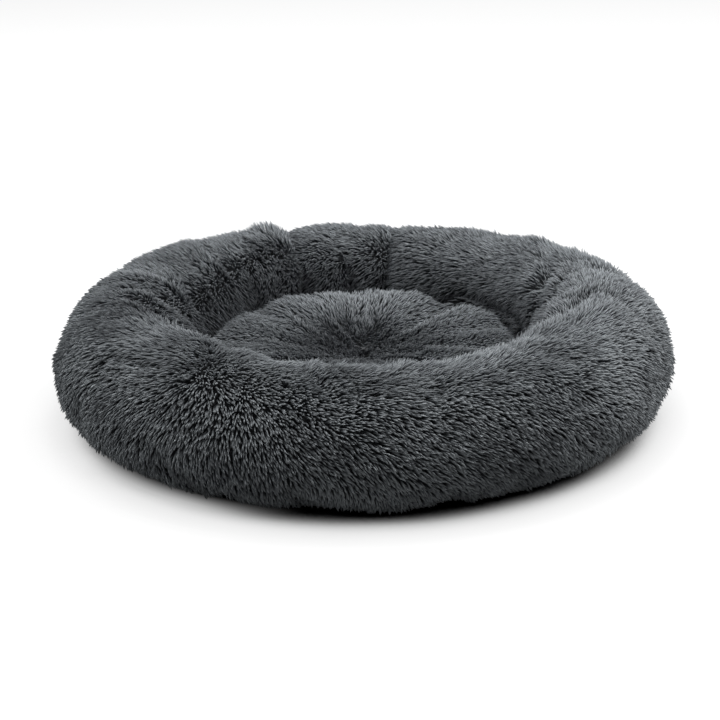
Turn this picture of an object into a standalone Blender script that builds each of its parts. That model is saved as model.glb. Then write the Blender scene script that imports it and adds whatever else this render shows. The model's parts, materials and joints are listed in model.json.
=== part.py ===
"""Donut pet bed, 70 cm across: a stuffed plush ring sewn round a tufted cushion on a non-slip base cloth.

The origin is on the floor at the centre of the bed. +Z is up, and -Y is the front.
Every soft piece is a ring about Z: a torus primitive whose section points are laid along the piece's own
outline, so neighbours share their outlines and lie a seam gap apart.
"""

import math

import bmesh
import bpy

# Lengths are in metres, angles in degrees and shares without a unit.

# The bed over its pile
OUTER_DIAMETER = 0.700
BOLSTER_HEIGHT = 0.146
BOLSTER_WIDTH = 0.173
OUTER_WAIST_HEIGHT = 0.064
INNER_WAIST_HEIGHT = 0.070
OUTER_SEAM_TUCK = 0.078
INNER_SEAM_TUCK = 0.014
SEAM_GAP = 0.0004
MERGE_DISTANCE = 0.000004

# The bolster cover: plush backing and pile, thinner where it runs into a seam
COVER_THICKNESS = 0.014
COVER_SEAM_THICKNESS = 0.004
CROWN_SQUARENESS = 2.0
UNDERSIDE_SQUARENESS = 2.3
CROSS_SEAM_ANGLE = 81

# The crest rises and falls as the filling lies. Each wave has its count, its share and the angle of a top
CREST_WAVE_SHARES = ((1, 0.012, 193), (2, 0.021, 1), (3, 0.019, 1), (4, 0.009, 62))

# Pleats that draw the plush in to the shorter inner seam, deepest from this share of the way down the inner
# wall. Each has its angle at the inner waist, half width, depth share, reach over the crest and lean there
PLEAT_DEPTH = 0.016
PLEAT_FULL_SHARE = 0.8
PLEAT_SHARES = (
    (20, 6.0, 0.35, 0.1, 12),
    (48, 6.0, 0.35, 0.1, 4),
    (CROSS_SEAM_ANGLE, 4.0, 0.85, 0.8, 0),
    (94, 4.5, 0.80, -0.3, 0),
    (113, 5.0, 0.95, 0.9, -2),
    (132, 6.0, 0.45, 0.2, -3),
    (166, 5.5, 0.60, 0.4, -11),
    (178, 5.0, 0.60, 0.4, -14),
    (203, 5.5, 0.50, 0.1, -4),
    (231, 6.0, 0.55, 0.3, 2),
    (CROSS_SEAM_ANGLE + 180, 4.0, 0.60, 0.2, 0),
    (289, 5.5, 0.55, 0.1, 2),
    (312, 5.5, 0.50, 0.2, 6),
    (331, 5.5, 0.50, 0.4, 14),
    (343, 5.0, 0.55, 0.5, 22),
    (354, 5.5, 0.75, 0.6, 34),
)

# The cushion in the middle, drawn down at its centre
CUSHION_HEIGHT = 0.095
CUSHION_SHOULDER_WIDTH = 0.026
CUSHION_SQUARENESS = 2.4
CUSHION_DIMPLE_HEIGHT = 0.068
CUSHION_DISH_ROUNDNESS = 1.5
CUSHION_THICKNESS = 0.012
CUSHION_DIMPLE_THICKNESS = 0.006
CUSHION_TUCK_DEPTH = 0.018

# Tucks that run out from the dimple: angle, half width and depth share
CUSHION_TUCK_SHARES = (
    (10, 9, 0.30),
    (51, 9, 0.90),
    (100, 10, 0.20),
    (141, 11, 0.25),
    (183, 10, 0.30),
    (222, 11, 0.45),
    (262, 10, 0.30),
    (305, 11, 0.50),
    (342, 10, 0.25),
)

# The base cloth and its moulded grip dots
BASE_THICKNESS = 0.0014
DOT_HEIGHT = 0.0015
DOT_DIAMETER = 0.008
DOT_PITCH = 0.042
DOT_EDGE_MARGIN = 0.018
DOT_SIDES = 6

# The tie: doubled twine through the cushion, stitched off under the base and knotted in the dimple
TIE_DIAMETER = 0.003
TIE_HOLE_CLEARANCE = 0.0004
KNOT_DIAMETER = 0.010
KNOT_HEIGHT = 0.005
TACK_DIAMETER = 0.012
TACK_THICKNESS = 0.0008

RING_COLUMNS = 88
CUSHION_COLUMNS = 56
TIE_COLUMNS = 16
CROWN_STEPS = 4
FOOT_STEPS = 3
DISH_STEPS = 5

OUTER_RADIUS = OUTER_DIAMETER / 2
CREST_RADIUS = OUTER_RADIUS - BOLSTER_WIDTH / 2
INNER_WAIST_RADIUS = OUTER_RADIUS - BOLSTER_WIDTH
OUTER_SEAM_RADIUS = OUTER_RADIUS - OUTER_SEAM_TUCK
INNER_SEAM_RADIUS = INNER_WAIST_RADIUS + INNER_SEAM_TUCK
CUSHION_CREST_RADIUS = INNER_WAIST_RADIUS - CUSHION_SHOULDER_WIDTH
BASE_TOP = DOT_HEIGHT + BASE_THICKNESS
TIE_HOLE_RADIUS = TIE_DIAMETER / 2 + TIE_HOLE_CLEARANCE

PLUSH = ("charcoal_plush", (0.070, 0.078, 0.086), 0.95)
FIBRE = ("polyester_fibre", (0.82, 0.82, 0.80), 0.90)
BASE_CLOTH = ("black_oxford_cloth", (0.022, 0.023, 0.025), 0.75)
TWINE = ("grey_twine", (0.045, 0.048, 0.052), 0.85)


def clear_scene():
    for obj in list(bpy.data.objects):
        bpy.data.objects.remove(obj, do_unlink=True)


def make_collection(name):
    collection = bpy.data.collections.new(name)
    bpy.context.scene.collection.children.link(collection)
    return collection


def give_material(obj, finish):
    name, colour, roughness = finish
    material = bpy.data.materials.get(name) or bpy.data.materials.new(name)
    material.use_nodes = True
    shader = material.node_tree.nodes["Principled BSDF"]
    shader.inputs["Base Color"].default_value = (*colour, 1)
    shader.inputs["Roughness"].default_value = roughness
    shader.inputs["Metallic"].default_value = 0
    obj.data.materials.clear()
    obj.data.materials.append(material)


def file_in(obj, collection):
    for home in list(obj.users_collection):
        home.objects.unlink(obj)
    collection.objects.link(obj)


def ease(share):
    share = min(max(share, 0), 1)
    return share * share * (3 - 2 * share)


def turn_between(angle, other):
    """The angle from one direction to another, from -180 to 180 degrees."""
    return (angle - other + 180) % 360 - 180


def quarter(corner, far, squareness, steps):
    """Points of a quarter of a superellipse about corner, from far's radius to far's height."""
    points = []
    for step in range(steps + 1):
        turn = math.pi / 2 * step / steps
        along = math.cos(turn) ** (2 / squareness)
        up = math.sin(turn) ** (2 / squareness)
        points.append(
            (
                corner[0] + (far[0] - corner[0]) * along,
                corner[1] + (far[1] - corner[1]) * up,
            )
        )
    return points


def section_normals(points, first, last):
    """Unit normals of an outline that runs anticlockwise, with the two end normals given."""
    normals = [first]
    for before, after in zip(points, points[2:]):
        run, rise = after[0] - before[0], after[1] - before[1]
        length = math.hypot(run, rise)
        normals.append((rise / length, -run / length))
    return normals + [last]


def inset(points, normals, depths):
    return [
        (point[0] - normal[0] * depth, point[1] - normal[1] * depth)
        for point, normal, depth in zip(points, normals, depths)
    ]


def fold_profile(off):
    """A fold's depth at so many half widths from its bottom: a narrow valley with wide shoulders."""
    return (1 + off * off) ** -1.5


def crest_height(angle):
    rise = 0
    for count, share, top in CREST_WAVE_SHARES:
        rise += share * math.cos(math.radians(count * (angle - top)))
    return BOLSTER_HEIGHT * (1 + rise)


def pleat_dent(angle, place):
    """How far the pleats draw the cover in. Place is -1 at the outer waist, 0 on the crest, 1 at the inner
    waist and 2 at the inner seam."""
    dent = 0
    for at, half_width, depth_share, reach_share, lean in PLEAT_SHARES:
        off = turn_between(angle, at + lean * (1 - place)) / half_width
        rise = ease((place + reach_share) / (PLEAT_FULL_SHARE + reach_share))
        fall = 1 - ease(place - 1)
        dent += PLEAT_DEPTH * depth_share * rise * fall * fold_profile(off)
    return dent


def bolster_foot():
    """The bolster's inner wall below its waist, down to the inner seam. The cushion's side lies along it."""
    foot_height = BASE_TOP + SEAM_GAP
    points = []
    for step in range(1, FOOT_STEPS + 1):
        share = step / FOOT_STEPS
        radius = INNER_WAIST_RADIUS + (INNER_SEAM_RADIUS - INNER_WAIST_RADIUS) * share**2
        height = INNER_WAIST_HEIGHT + (foot_height - INNER_WAIST_HEIGHT) * share
        points.append((radius, height))
    return points


def bolster_outline(angle):
    """The cover's outer face in the half plane at this angle, from the outer seam over the crest to the
    inner seam, with the pleats drawn in."""
    crest_at = crest_height(angle)
    under = quarter(
        (OUTER_SEAM_RADIUS + SEAM_GAP, OUTER_WAIST_HEIGHT),
        (OUTER_RADIUS, DOT_HEIGHT),
        UNDERSIDE_SQUARENESS,
        FOOT_STEPS,
    )
    outside = quarter(
        (CREST_RADIUS, OUTER_WAIST_HEIGHT), (OUTER_RADIUS, crest_at), CROWN_SQUARENESS, CROWN_STEPS
    )
    inside = quarter(
        (CREST_RADIUS, INNER_WAIST_HEIGHT), (INNER_WAIST_RADIUS, crest_at), CROWN_SQUARENESS, CROWN_STEPS
    )
    points = under[::-1] + outside[1:] + inside[-2::-1] + bolster_foot()
    waist = FOOT_STEPS + 2 * CROWN_STEPS
    places = []
    for step in range(len(points)):
        before_waist = (step - FOOT_STEPS) / CROWN_STEPS - 1
        places.append(min(before_waist, 1) + max(step - waist, 0) / FOOT_STEPS)
    normals = section_normals(points, (0, -1), (-1, 0))
    dents = [pleat_dent(angle, place) for place in places]
    return inset(points, normals, dents)


def bolster_lining(angle):
    """The cover's inner face, which the fibre fills. It has every second point of the outer face."""
    points = bolster_outline(angle)
    normals = section_normals(points, (0, -1), (-1, 0))
    last = len(points) - 1
    depths = []
    for step in range(len(points)):
        share = ease(min(step, last - step) / FOOT_STEPS)
        depths.append(COVER_SEAM_THICKNESS + (COVER_THICKNESS - COVER_SEAM_THICKNESS) * share)
    return inset(points, normals, depths)[::2]


def bolster_cover_section(angle):
    return bolster_outline(angle) + bolster_lining(angle)[::-1]


def bolster_fill_section(angle):
    lining = bolster_lining(angle)
    normals = section_normals(lining, (0, -1), (-1, 0))
    packed = inset(lining, normals, [SEAM_GAP] * len(lining))
    outer_corner = OUTER_SEAM_RADIUS - SEAM_GAP
    return packed + [(outer_corner, BASE_TOP + SEAM_GAP), (outer_corner, packed[0][1])]


def cushion_crest(angle):
    """The height of the cushion's crest, which the tucks pull down."""
    drop = 0
    for at, half_width, depth_share in CUSHION_TUCK_SHARES:
        off = turn_between(angle, at) / half_width
        drop += CUSHION_TUCK_DEPTH * depth_share * fold_profile(off)
    return CUSHION_HEIGHT - drop


def cushion_outline(angle):
    """The cushion cover's upper face, from its seam up the side, over the crest and down to the tie."""
    side = [(radius - SEAM_GAP, height) for radius, height in reversed(bolster_foot())]
    top = cushion_crest(angle)
    shoulder = quarter(
        (CUSHION_CREST_RADIUS, side[-1][1]), (side[-1][0], top), CUSHION_SQUARENESS, CROWN_STEPS
    )
    dish = []
    for step in range(1, DISH_STEPS + 1):
        share = 1 - step / DISH_STEPS
        radius = TIE_HOLE_RADIUS + (CUSHION_CREST_RADIUS - TIE_HOLE_RADIUS) * share
        rise = math.sin(math.pi / 2 * share) ** CUSHION_DISH_ROUNDNESS
        dish.append((radius, CUSHION_DIMPLE_HEIGHT + (top - CUSHION_DIMPLE_HEIGHT) * rise))
    return side + shoulder[1:] + dish


def cushion_lining(angle):
    points = cushion_outline(angle)
    normals = section_normals(points, (1, 0), (0, 1))
    last = len(points) - 1
    depths = []
    for step in range(len(points)):
        seam_share = ease(step / FOOT_STEPS)
        crest_share = ease((last - step) / DISH_STEPS)
        depth = CUSHION_DIMPLE_THICKNESS + (CUSHION_THICKNESS - CUSHION_DIMPLE_THICKNESS) * crest_share
        depths.append(COVER_SEAM_THICKNESS + (depth - COVER_SEAM_THICKNESS) * seam_share)
    lining = inset(points, normals, depths)
    return lining[:1] + lining[1:-1:2] + lining[-1:]


def cushion_cover_section(angle):
    return cushion_outline(angle) + cushion_lining(angle)[::-1]


def cushion_fill_section(angle):
    lining = cushion_lining(angle)
    normals = section_normals(lining, (1, 0), (0, 1))
    packed = inset(lining, normals, [SEAM_GAP] * len(lining))
    return packed + [(TIE_HOLE_RADIUS, BASE_TOP + SEAM_GAP)]


def ring(name, section_at, columns, collection, finish):
    """A closed ring: a torus primitive whose section points are laid along the outline for their angle."""
    points = len(section_at(0))
    bpy.ops.mesh.primitive_torus_add(
        major_segments=columns,
        minor_segments=points,
        major_radius=CREST_RADIUS,
        minor_radius=BOLSTER_WIDTH / 2,
    )
    obj = bpy.context.object
    obj.name = name
    obj.data.name = name
    sections = {}
    for vertex in obj.data.vertices:
        x, y, z = vertex.co
        column = round(math.atan2(y, x) / math.tau * columns) % columns
        place = round(math.atan2(z, math.hypot(x, y) - CREST_RADIUS) / math.tau * points) % points
        angle = 360 * column / columns
        if column not in sections:
            sections[column] = section_at(angle)
        radius, height = sections[column][place]
        turn = math.radians(angle)
        vertex.co = (radius * math.cos(turn), radius * math.sin(turn), height)
    fold_quads(obj)
    file_in(obj, collection)
    give_material(obj, finish)
    smooth(obj)
    return obj


def fold_quads(obj):
    """Splits every face along its shorter diagonal, so that a cover and its filling fold alike."""
    mesh = bmesh.new()
    mesh.from_mesh(obj.data)
    bmesh.ops.triangulate(mesh, faces=mesh.faces[:], quad_method="SHORT_EDGE")
    bmesh.ops.recalc_face_normals(mesh, faces=mesh.faces[:])
    mesh.to_mesh(obj.data)
    mesh.free()


def smooth(obj):
    obj.data.shade_smooth()
    obj.data.set_sharp_from_angle(angle=math.radians(50))


def cut_at_cross_seams(obj, side):
    """Keeps the half on one side of the cross seams' plane, half a seam gap clear of it."""
    turn = math.radians(CROSS_SEAM_ANGLE)
    normal = (math.sin(turn) * side, -math.cos(turn) * side, 0)
    offset = SEAM_GAP / 2
    mesh = bmesh.new()
    mesh.from_mesh(obj.data)
    cut = bmesh.ops.bisect_plane(
        mesh,
        geom=mesh.verts[:] + mesh.edges[:] + mesh.faces[:],
        plane_co=(normal[0] * offset, normal[1] * offset, 0),
        plane_no=normal,
        clear_inner=True,
    )
    edges = [item for item in cut["geom_cut"] if isinstance(item, bmesh.types.BMEdge)]
    bmesh.ops.holes_fill(mesh, edges=edges)
    bmesh.ops.recalc_face_normals(mesh, faces=mesh.faces[:])
    mesh.to_mesh(obj.data)
    mesh.free()


def make_bolster_cover(collection):
    """Two lengths of plush, joined by the two cross seams."""
    for name, side in (("bolster_cover_right", 1), ("bolster_cover_left", -1)):
        panel = ring(name, bolster_cover_section, RING_COLUMNS, collection, PLUSH)
        cut_at_cross_seams(panel, side)
        smooth(panel)


def make_bolster_fill(collection):
    ring("bolster_fill", bolster_fill_section, RING_COLUMNS, collection, FIBRE)


def make_cushion(collection):
    ring("cushion_cover", cushion_cover_section, CUSHION_COLUMNS, collection, PLUSH)
    ring("cushion_fill", cushion_fill_section, CUSHION_COLUMNS, collection, FIBRE)


def turned(name, profile, closed, steps, collection, finish):
    """A solid turned about Z from a profile that runs down its outer side."""
    mesh = bpy.data.meshes.new(name)
    edges = [(step, step + 1) for step in range(len(profile) - 1)]
    if closed:
        edges.append((len(profile) - 1, 0))
    mesh.from_pydata([(radius, 0, height) for radius, height in profile], edges, [])
    obj = bpy.data.objects.new(name, mesh)
    collection.objects.link(obj)
    screw = obj.modifiers.new("turn", "SCREW")
    screw.steps = steps
    screw.render_steps = steps
    screw.use_merge_vertices = True
    screw.merge_threshold = MERGE_DISTANCE
    give_material(obj, finish)
    return obj


def dot_places():
    """The grip dots' centres, on a triangular grid inside the outer seam and clear of the tie."""
    reach = OUTER_SEAM_RADIUS - DOT_EDGE_MARGIN
    inside = TACK_DIAMETER / 2 + DOT_DIAMETER
    rows = int(reach / DOT_PITCH) + 1
    places = []
    for row in range(-2 * rows, 2 * rows + 1):
        for column in range(-2 * rows, 2 * rows + 1):
            x = (column + row / 2) * DOT_PITCH
            y = row * DOT_PITCH * math.sin(math.radians(60))
            if inside < math.hypot(x, y) < reach:
                places.append((x, y))
    return places


def make_dots(collection):
    """The moulded dots, which reach half way into the cloth so that they join it."""
    mesh = bmesh.new()
    depth = DOT_HEIGHT + BASE_THICKNESS / 2
    for x, y in dot_places():
        made = bmesh.ops.create_cone(
            mesh,
            cap_ends=True,
            segments=DOT_SIDES,
            radius1=DOT_DIAMETER / 2,
            radius2=DOT_DIAMETER / 2,
            depth=depth,
        )
        bmesh.ops.translate(mesh, verts=made["verts"], vec=(x, y, depth / 2))
    data = bpy.data.meshes.new("grip_dots")
    mesh.to_mesh(data)
    mesh.free()
    dots = bpy.data.objects.new("grip_dots", data)
    collection.objects.link(dots)
    dots.hide_render = True
    dots.display_type = "WIRE"
    return dots


def make_base_cloth(collection, cutters):
    profile = [
        (TIE_HOLE_RADIUS, BASE_TOP),
        (OUTER_SEAM_RADIUS, BASE_TOP),
        (OUTER_SEAM_RADIUS, DOT_HEIGHT),
        (TIE_HOLE_RADIUS, DOT_HEIGHT),
    ]
    cloth = turned("base_cloth", profile, True, RING_COLUMNS, collection, BASE_CLOTH)
    join = cloth.modifiers.new("dots", "BOOLEAN")
    join.operation = "UNION"
    join.solver = "EXACT"
    join.object = make_dots(cutters)


def make_tuft_tie(collection):
    """Twine pulled tight between a tack under the base cloth and a knot in the cushion's dimple."""
    stem = TIE_DIAMETER / 2
    knot_foot = CUSHION_DIMPLE_HEIGHT + SEAM_GAP
    tack_top = DOT_HEIGHT - SEAM_GAP
    knot = []
    for step in range(1, CROWN_STEPS + 1):
        turn = math.pi * step / (CROWN_STEPS + 1)
        knot.append(
            (
                math.sin(turn) * KNOT_DIAMETER / 2,
                knot_foot + KNOT_HEIGHT * (1 + math.cos(turn)) / 2,
            )
        )
    profile = [(0, knot_foot + KNOT_HEIGHT)] + knot + [
        (stem, knot_foot),
        (stem, tack_top),
        (TACK_DIAMETER / 2, tack_top),
        (TACK_DIAMETER / 2, tack_top - TACK_THICKNESS),
        (0, tack_top - TACK_THICKNESS),
    ]
    turned("tuft_tie", profile, False, TIE_COLUMNS, collection, TWINE)


def main():
    clear_scene()
    bed = make_collection("donut_pet_bed")
    cutters = make_collection("cutters")
    make_bolster_cover(bed)
    make_bolster_fill(bed)
    make_cushion(bed)
    make_base_cloth(bed, cutters)
    make_tuft_tie(bed)


main()
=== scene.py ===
"""The looks of the donut pet bed: its stuffed plush ring and tufted cushion with their long pile, the base cloth
with its grip dots, the fibre and the tie, on a pale studio floor.

Lengths are in metres, angles in degrees and shares without a unit. -Y is the front.
"""

import json
import math

import bmesh
import bpy
import numpy as np
from mathutils import Matrix, Vector
from mathutils.kdtree import KDTree

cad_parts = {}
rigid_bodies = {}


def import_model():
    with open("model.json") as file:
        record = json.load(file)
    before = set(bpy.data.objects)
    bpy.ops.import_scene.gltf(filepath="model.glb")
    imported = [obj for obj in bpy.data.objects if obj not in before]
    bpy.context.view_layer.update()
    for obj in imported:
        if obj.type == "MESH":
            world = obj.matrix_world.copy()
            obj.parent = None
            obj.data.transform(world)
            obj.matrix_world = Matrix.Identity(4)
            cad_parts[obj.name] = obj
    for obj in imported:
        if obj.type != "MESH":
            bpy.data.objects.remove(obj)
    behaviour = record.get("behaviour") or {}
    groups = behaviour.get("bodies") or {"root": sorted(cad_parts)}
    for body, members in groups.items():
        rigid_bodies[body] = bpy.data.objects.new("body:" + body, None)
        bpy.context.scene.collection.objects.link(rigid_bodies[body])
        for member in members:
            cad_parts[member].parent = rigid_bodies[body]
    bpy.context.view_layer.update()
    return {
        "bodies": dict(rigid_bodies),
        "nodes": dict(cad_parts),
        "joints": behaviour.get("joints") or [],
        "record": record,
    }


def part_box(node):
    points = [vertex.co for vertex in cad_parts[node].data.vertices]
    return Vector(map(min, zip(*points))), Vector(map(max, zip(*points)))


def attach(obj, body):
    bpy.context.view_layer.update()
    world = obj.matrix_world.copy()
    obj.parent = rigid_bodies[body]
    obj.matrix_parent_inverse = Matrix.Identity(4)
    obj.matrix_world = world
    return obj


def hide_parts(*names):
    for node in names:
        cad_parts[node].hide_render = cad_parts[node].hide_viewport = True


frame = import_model()
node_box = {name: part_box(name) for name in frame["nodes"]}

# The bed over its pile, as the solids have it
OUTER_RADIUS = node_box["bolster_cover_right"][1].x
BOLSTER_HEIGHT = 0.146
BOLSTER_WIDTH = 0.173
OUTER_WAIST_HEIGHT = 0.064
INNER_WAIST_HEIGHT = 0.070
OUTER_SEAM_TUCK = 0.078
INNER_SEAM_TUCK = 0.014
SEAM_GAP = 0.0004
CROWN_SQUARENESS = 2.0
UNDERSIDE_SQUARENESS = 2.3
CROSS_SEAM_ANGLE = 81
CREST_WAVE_SHARES = ((1, 0.012, 193), (2, 0.021, 1), (3, 0.019, 1), (4, 0.009, 62))

# Pleats that draw the plush in to the inner seam: angle at the inner waist, half width, depth share, reach over
# the crest and lean there
PLEAT_DEPTH = 0.024
PLEAT_FULL_SHARE = 0.8
PLEAT_SHARES = (
    (20, 6.0, 0.35, 0.1, 12),
    (48, 6.0, 0.35, 0.1, 4),
    (CROSS_SEAM_ANGLE, 4.0, 0.85, 0.8, 0),
    (94, 4.5, 0.80, -0.3, 0),
    (111, 5.0, 0.72, 0.9, -2),
    (132, 6.0, 0.45, 0.2, -3),
    (166, 5.5, 0.60, 0.4, -11),
    (180, 5.0, 0.50, 0.4, -4),
    (206, 5.5, 0.60, 0.2, -10),
    (231, 6.0, 0.55, 0.3, 2),
    (CROSS_SEAM_ANGLE + 180, 4.0, 0.60, 0.2, 0),
    (289, 5.5, 0.55, 0.1, 2),
    (312, 5.5, 0.50, 0.2, 6),
    (331, 5.5, 0.50, 0.4, 14),
    (343, 5.0, 0.55, 0.5, 22),
    (354, 5.5, 0.75, 0.6, 34),
)

# Where the cloth is creased, or swells where the depth is negative: depth, half width, and the line that the
# crease follows as angle and place
CREASES = (
    (0.010, 0.0050, ((108.5, -0.15), (110.5, 0.3), (110.5, 0.7), (112, 1.1))),
    (0.010, 0.0040, ((94.5, 0.4), (94, 1.1))),
    (0.010, 0.0035, ((81, 0.0), (80.5, 0.65), (81, 1.1))),
    (0.009, 0.0045, ((130.5, 0.45), (133.5, 1.1))),
    (0.010, 0.0070, ((14, 0.12), (9.5, 0.22), (3, 0.4), (2, 0.55), (6, 0.85))),
    (0.009, 0.0070, ((24, 0.12), (21, 0.25), (18, 0.45), (20, 0.65))),
    (0.010, 0.0070, ((352, 0.06), (343, 0.15), (334, 0.25), (322, 0.4))),
    (0.014, 0.0060, ((182, -0.04), (186, 0.08), (192, 0.21), (201, 0.32), (208, 0.44), (213, 0.6), (214, 0.85))),
    (0.012, 0.0055, ((176, -0.13), (177, 0.03), (178.5, 0.2), (180, 0.35), (183, 0.55), (187, 0.8))),
    (0.008, 0.0050, ((163, 0.35), (172, 0.75))),
    (0.006, 0.0045, ((211, -0.55), (213, -0.4), (218, -0.36), (227, -0.32))),
    (0.005, 0.0250, ((247, 0.0), (247, 0.3))),
    (0.015, 0.0065, ((62, 1.15), (54, 0.86), (40, 0.84), (25, 0.84), (12, 0.86), (4, 1.15))),
    (-0.005, 0.0100, ((184, -0.2), (190, -0.04), (199, 0.06), (209, 0.13), (218, 0.16), (228, 0.12))),
    (-0.004, 0.0080, ((180.5, 0.02), (182.5, 0.16), (187, 0.33), (192, 0.5))),
    (-0.004, 0.0100, ((169, -0.1), (168, 0.15), (169.5, 0.45))),
    (-0.004, 0.0110, ((6, 0.05), (357, 0.2), (345, 0.4))),
    (-0.003, 0.0100, ((14, 0.05), (12, 0.2), (12, 0.4))),
    (-0.005, 0.0200, ((26, -0.15), (16, -0.12))),
    (-0.004, 0.0110, ((344, 0.02), (330, 0.12), (318, 0.2))),
)
CREASE_DEGREE = 0.0042
CREASE_PLACE = 0.125

# The cushion over its pile, and the tucks that run out from its dimple: angle, half width and depth share
CUSHION_HEIGHT = 0.095
CUSHION_SHOULDER_WIDTH = 0.026
CUSHION_SQUARENESS = 2.4
CUSHION_DIMPLE_HEIGHT = 0.068
CUSHION_DISH_ROUNDNESS = 1.5
CUSHION_TUCK_DEPTH = 0.018
CUSHION_TUCK_SHARES = (
    (10, 9, 0.30),
    (48.5, 9, 1.00),
    (100, 10, 0.04),
    (141, 11, 0.25),
    (183, 10, 0.30),
    (222, 11, 0.45),
    (262, 10, 0.30),
    (305, 11, 0.50),
    (342, 10, 0.25),
)

# The base cloth, its grip dots and the tie
BASE_THICKNESS = 0.0014
DOT_HEIGHT = 0.0015
DOT_DIAMETER = 0.008
DOT_ROUNDING = 0.0008
DOT_PITCH = 0.042
DOT_EDGE_MARGIN = 0.018
TIE_DIAMETER = 0.003
TIE_HOLE_CLEARANCE = 0.0004
KNOT_DIAMETER = 0.010
TACK_DIAMETER = 0.012
BASE_CLOTH_THICKNESS = 0.0006
SEAM_PUCKER = 0.00035
SEAM_PUCKERS = 61
TIE_PUCKER = 0.0003
TIE_PUCKERS = 9
TIE_LIFT = 0.0006
CLOTH_SAG = 0.0002
THREAD_PITCH = 0.0009
PLY_RADIUS = 0.0007
TWIST_PITCH = 0.007
TIE_END_LENGTH = 0.010

CREST_RADIUS = OUTER_RADIUS - BOLSTER_WIDTH / 2
INNER_WAIST_RADIUS = OUTER_RADIUS - BOLSTER_WIDTH
OUTER_SEAM_RADIUS = OUTER_RADIUS - OUTER_SEAM_TUCK
CUSHION_CREST_RADIUS = INNER_WAIST_RADIUS - CUSHION_SHOULDER_WIDTH
BASE_TOP = DOT_HEIGHT + BASE_THICKNESS
TIE_HOLE_RADIUS = TIE_DIAMETER / 2 + TIE_HOLE_CLEARANCE

# The cloth under the pile
COVER_THICKNESS = 0.0014
FIBRE_GAP = 0.0010
FIBRE_CREASE_GAP = 0.0085
FIBRE_LUMPS = 0.0010
FILL_SEARCH = 0.005
PILE_DEPTH = 0.0095
SEAM_PILE_DEPTH = 0.0030
WALL_PILE_DEPTH = 0.0060
DIMPLE_PILE_DEPTH = 0.0065
STUFFING_WAVES = ((7, 2.1, 40, 0.0012), (11, -3.4, 110, 0.0009), (17, 5.2, 75, 0.0006))
RING_COLUMNS = 480
RING_COVER_GRID = (240, 72)
RING_FIBRE_GRID = (320, 60)
CUSHION_COLUMNS = 180
CUSHION_COVER_GRID = (180, 48)
CUSHION_FIBRE_GRID = (180, 72)

# How the stuffing presses the covers out: they start a little under their shape and are cut a little wider
STUFFING_PRESSURE = 4
STUFFING_FRAMES = 20
STUFFING_SINK = 0.003
STUFFING_REACH = 0.006
CLOTH_FULLNESS = 0.02
PLEAT_HOLD_DEPTH = 0.012
BROAD_COLUMNS = 9
BROAD_ROWS = 6

# The pile
PILE_LENGTH = 0.0165
OUTER_PILE_WIDTH = 0.00086
INNER_PILE_WIDTH = 0.00074
OUTER_SPACING = 0.0031
INNER_SPACING = 0.0026
INNER_PLACE = -0.35
UNDER_SPACING = 0.0044
ROOT_LIFT = 64
TIP_LIFT = 20
OUTER_LOCK = ((0, 0.4, 0.78, 1), (0.6, 0.95, 1.0, 0))
INNER_LOCK = ((0, 0.6, 1), (0.65, 1.0, 0))
LOCK_SPREAD = 0.0070
LOCK_PULL = 0.26
LOCK_BEND = 0.0009
STRAY_SPREAD = 6.5
STRAY_SWING = 10
STRAY_WAVES = (9, 14, 22, 31)
LIFT_SPREAD = 7
LIFT_SWING = 6
LIFT_WAVES = (8, 13, 27)
LEAST_ROOT_LIFT = 15
MOST_ROOT_LIFT = 88
TONE_SPREAD = 0.17
TONE_SWING = 0.2
TONE_WAVES = (5, 9, 16, 28)
CREASE_TRIM = 0.40
PILE_TONES = 32
# The pile's colour from root to tip: near black at the root, which paints the shade deep between the locks, and paler
# to the tip
PILE_COLOURS_AND_ROOT_SHADE = (
    (0.0, (0.004, 0.0045, 0.005)),
    (0.3, (0.013, 0.014, 0.016)),
    (0.6, (0.170, 0.184, 0.196)),
    (1.0, (0.340, 0.363, 0.380)),
)
# Brightness by tone: the tone is partly chance and partly the painted shade of the nest, the dimple and the whorl
PILE_TONES_AND_PAINTED_SHADE = ((0.0, (0.38, 0.38, 0.39)), (0.5, (0.97, 0.97, 0.97)), (1.0, (1.5, 1.5, 1.48)))
FIBRE_SHADES = ((0.3, (0.72, 0.72, 0.73)), (0.7, (1.25, 1.25, 1.24)))
FIBRES_ACROSS = 9
FIBRE_WAVES_ALONG = 2.2
# Painted shade: the ring's pile darkens down its inner wall, from this place over this run, towards the cushion
NEST_PAINTED_SHADE = 0.75
NEST_PAINTED_SHADE_PLACE = 0.35
NEST_PAINTED_SHADE_RUN = 0.4
# Painted shade: the cushion's pile keeps this share of its tone deep in its dimple, and all of it at the rim
CUSHION_DIMPLE_SHADED_SHARE = 0.30
CUSHION_RIM_UNSHADED_SHARE = 1.0
CUSHION_LEAST_TONE = 0.32
CUSHION_TONE_SPAN = 0.5
# Painted shade: the share by which the cushion's pile darkens round its whorl, in the dent there
WHORL_PAINTED_SHADE = 0.5
RING_PILE_PIECES = 4
RING_PILE_SPAN = (-1.95, 1.15)
CUSHION_PILE_PIECES = 2
CUSHION_PILE_SPAN = (-0.1, 1.985)
LOWEST_PILE = 0.0008

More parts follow.
